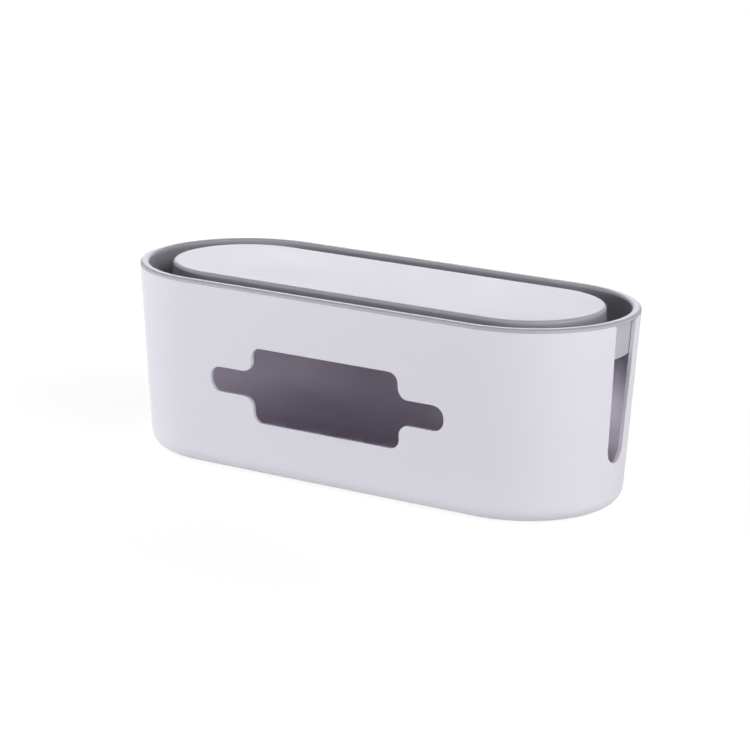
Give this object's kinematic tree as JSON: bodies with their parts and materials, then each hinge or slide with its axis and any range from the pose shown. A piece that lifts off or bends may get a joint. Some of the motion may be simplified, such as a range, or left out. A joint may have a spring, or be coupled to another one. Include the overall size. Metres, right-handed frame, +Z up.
{
  "type": "cable management box",
  "caption": "Oblong box with rounded ends that hides a power strip and leads, with a front window, open end slots and a lift-off lid with a deep channel round a raised plateau.",
  "frame": {"origin": "on the surface the box stands on, below the middle of the case", "axes": "+X along the box, +Y to the back (the window faces -Y), +Z up"},
  "size_m": [0.3198, 0.1294, 0.1142],
  "materials": {
    "case_plastic": "fine satin moulding",
    "lid_plastic": "fine satin moulding",
    "foot_rubber": "matt"
  },
  "bodies": {
    "case": {"case": "case_plastic", "foot_front_left": "foot_rubber", "foot_front_right": "foot_rubber", "foot_back_left": "foot_rubber", "foot_back_right": "foot_rubber"},
    "lid": {"lid": "lid_plastic"}
  },
  "joints": [
    {"name": "lid_lift", "type": "slide", "parent": "case", "child": "lid", "axis": [0, 0, 1], "range_m": [0, 0.05]}
  ]
}
